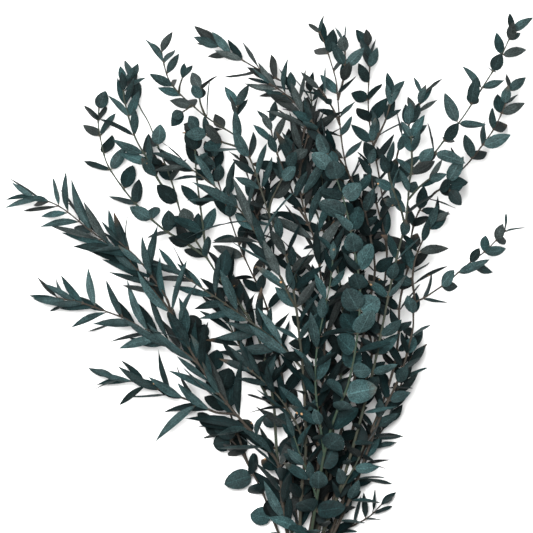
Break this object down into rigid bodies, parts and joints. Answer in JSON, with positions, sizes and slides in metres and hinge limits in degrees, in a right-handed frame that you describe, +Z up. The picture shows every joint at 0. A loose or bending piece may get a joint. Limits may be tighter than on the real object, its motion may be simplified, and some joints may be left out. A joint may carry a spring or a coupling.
{
  "type": "preserved eucalyptus branch",
  "caption": "Bunch of cut, preserved small-leaved eucalyptus stems in dark teal, lying on a surface and held by a rubber band near the cut ends.",
  "frame": {"origin": "middle of the underside of the lying bunch's box, on the surface it lies on", "axes": "+Y from the cut ends to the tips, +X to the right seen from above, +Z up from the surface"},
  "size_m": [0.5318, 0.6358, 0.135],
  "materials": {
    "leaf": "matt, dyed dark teal, supple",
    "twig": "matt bark, brown to green",
    "band": "matt natural rubber"
  },
  "bodies": {
    "root": {"front_round_leaf_stem": "leaf", "centre_left_stem": "leaf", "upper_right_stem": "leaf", "left_narrow_leaf_stem": "leaf", "right_oval_leaf_stem": "leaf", "top_centre_stem": "leaf", "right_thick_stem": "leaf", "centre_narrow_leaf_stem": "leaf", "left_oval_leaf_stem": "leaf", "top_right_stem": "leaf", "low_left_stem": "leaf", "back_left_stem": "leaf", "back_centre_stem": "leaf", "rubber_band": "band"}
  },
  "joints": []
}
